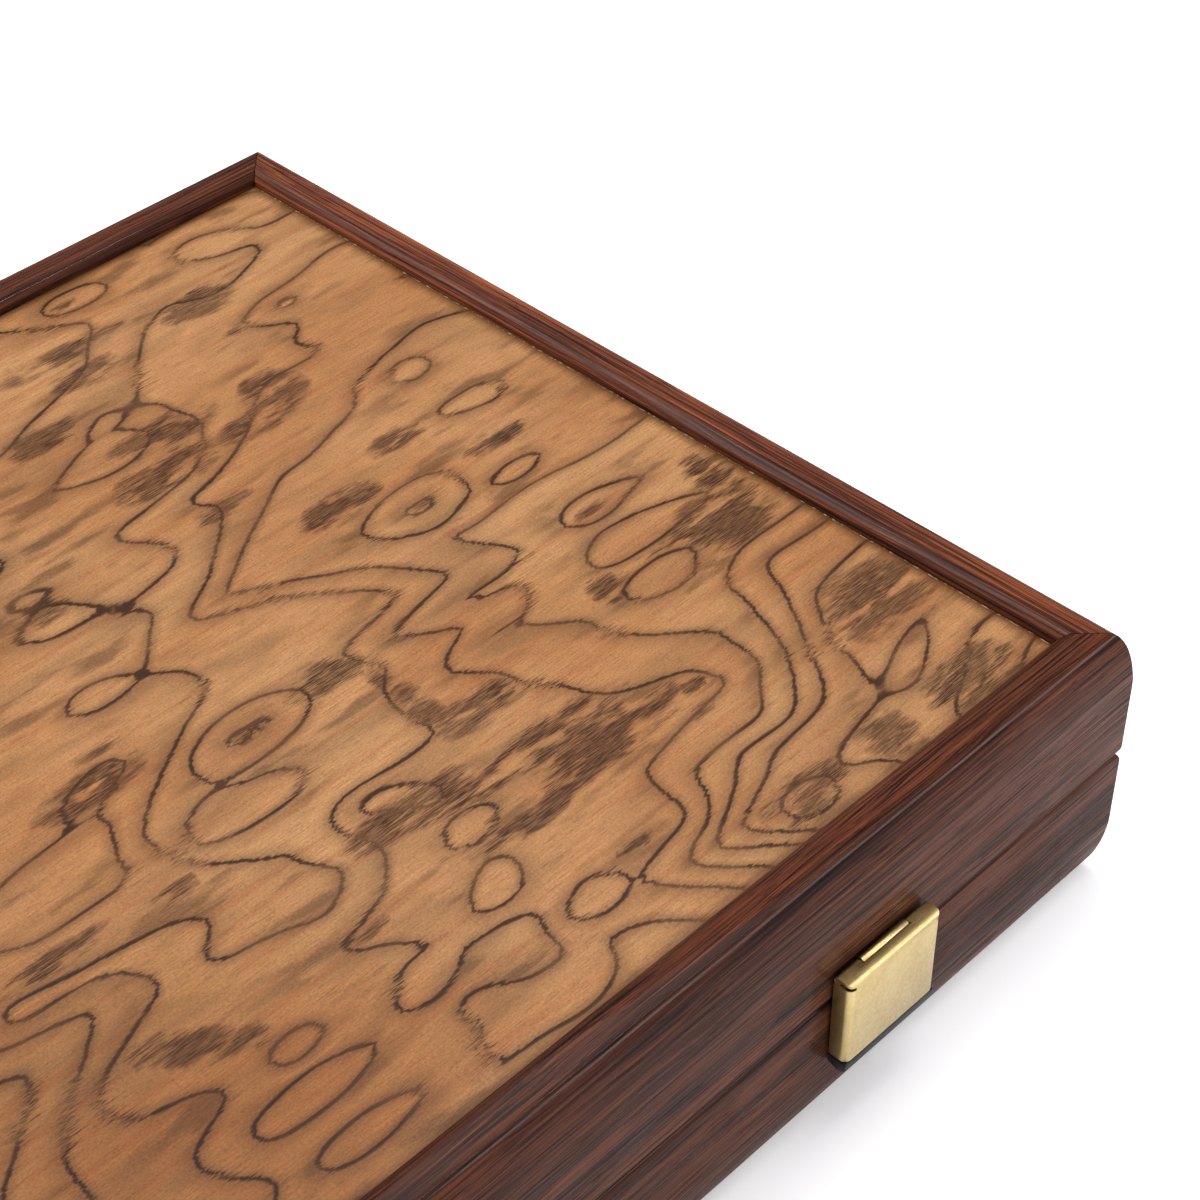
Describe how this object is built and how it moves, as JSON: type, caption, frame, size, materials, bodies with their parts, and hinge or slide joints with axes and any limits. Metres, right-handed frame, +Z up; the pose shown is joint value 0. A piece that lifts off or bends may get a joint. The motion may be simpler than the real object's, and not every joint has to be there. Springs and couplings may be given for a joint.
{
  "type": "backgammon case",
  "caption": "Folding wooden game case with moulded mitred rails, burl panels, a playing board inside, butt hinges and brass snap latches.",
  "frame": {"origin": "centre of the bounding box on the table, with the case closed and lying flat", "axes": "+X along the hinge side to the right as seen from the latched front, +Y from the latched front to the hinged back, +Z up"},
  "size_m": [0.48, 0.2567, 0.0619],
  "materials": {
    "rail_wood": "dark open-grained hardwood, satin lacquer",
    "burl_veneer": "tan burl veneer with dark figure, satin lacquer",
    "board_veneer": "plain veneer with inlaid points, satin lacquer",
    "brass": "fine brushed",
    "black_metal": "black, satin",
    "men_dark": "turned, satin lacquer",
    "men_light": "turned, satin lacquer",
    "dice": "polished"
  },
  "bodies": {
    "base": {"base_back_rail": "rail_wood", "base_burl_panel": "burl_veneer", "base_front_rail": "rail_wood", "base_left_rail": "rail_wood", "base_playing_board": "board_veneer", "base_right_rail": "rail_wood", "die_1": "dice", "die_2": "dice", "hinge_left_base_leaf": "brass", "hinge_left_pin": "brass", "hinge_right_base_leaf": "brass", "hinge_right_pin": "brass", "latch_left_catch": "black_metal", "latch_right_catch": "black_metal", "man_dark_01": "men_dark", "man_dark_02": "men_dark", "man_dark_03": "men_dark", "man_dark_04": "men_dark", "man_dark_05": "men_dark", "man_dark_06": "men_dark", "man_dark_07": "men_dark", "man_dark_08": "men_dark", "man_dark_09": "men_dark", "man_dark_10": "men_dark", "man_dark_11": "men_dark", "man_dark_12": "men_dark", "man_dark_13": "men_dark", "man_dark_14": "men_dark", "man_dark_15": "men_dark", "man_light_01": "men_light", "man_light_02": "men_light", "man_light_03": "men_light", "man_light_04": "men_light", "man_light_05": "men_light", "man_light_06": "men_light", "man_light_07": "men_light", "man_light_08": "men_light", "man_light_09": "men_light", "man_light_10": "men_light", "man_light_11": "men_light", "man_light_12": "men_light", "man_light_13": "men_light", "man_light_14": "men_light", "man_light_15": "men_light"},
    "lid": {"hinge_left_lid_leaf": "brass", "hinge_right_lid_leaf": "brass", "latch_left_hinge_plate": "brass", "latch_left_pin": "brass", "latch_right_hinge_plate": "brass", "latch_right_pin": "brass", "lid_back_rail": "rail_wood", "lid_burl_panel": "burl_veneer", "lid_front_rail": "rail_wood", "lid_left_rail": "rail_wood", "lid_playing_board": "board_veneer", "lid_right_rail": "rail_wood"},
    "latch_left": {"latch_left_cover": "brass"},
    "latch_right": {"latch_right_cover": "brass"}
  },
  "joints": [
    {"name": "lid_hinge", "type": "hinge", "parent": "base", "child": "lid", "pos_m": [0, 0.12615, 0.03095], "axis": [-1, 0, 0], "range_deg": [0, 180]},
    {"name": "latch_left_swing", "type": "hinge", "parent": "lid", "child": "latch_left", "pos_m": [-0.1668, -0.1251, 0.0375], "axis": [-1, 0, 0], "range_deg": [0, 90]},
    {"name": "latch_right_swing", "type": "hinge", "parent": "lid", "child": "latch_right", "pos_m": [0.1668, -0.1251, 0.0375], "axis": [-1, 0, 0], "range_deg": [0, 90]}
  ]
}
